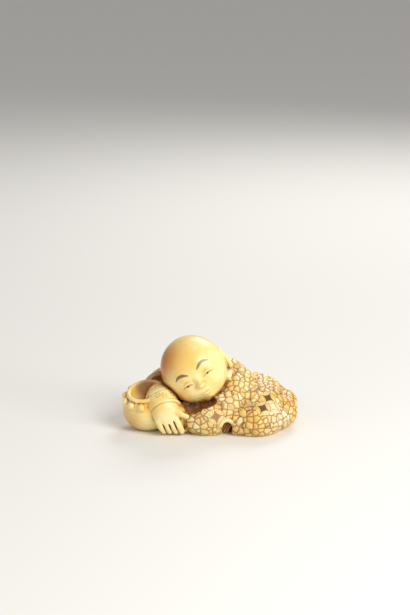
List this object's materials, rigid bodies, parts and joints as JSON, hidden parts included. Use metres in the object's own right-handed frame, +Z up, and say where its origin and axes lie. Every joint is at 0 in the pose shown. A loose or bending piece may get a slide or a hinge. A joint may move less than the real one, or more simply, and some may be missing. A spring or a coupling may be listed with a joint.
{
  "type": "netsuke",
  "caption": "Carved ivory netsuke: a bald child in a patterned robe leans the head on a folded arm, one hand on a round-bellied pot.",
  "frame": {"origin": "on the flat underside, below the middle of the child's body", "axes": "+Z up; +X along the carving's length, from the pot towards the child's feet; -Y the side that the child's face looks to"},
  "size_m": [0.0458, 0.0272, 0.0241],
  "materials": {
    "ivory": "polished old ivory, honey patina, lines stained brown"
  },
  "bodies": {
    "root": {"netsuke": "ivory"}
  },
  "joints": []
}
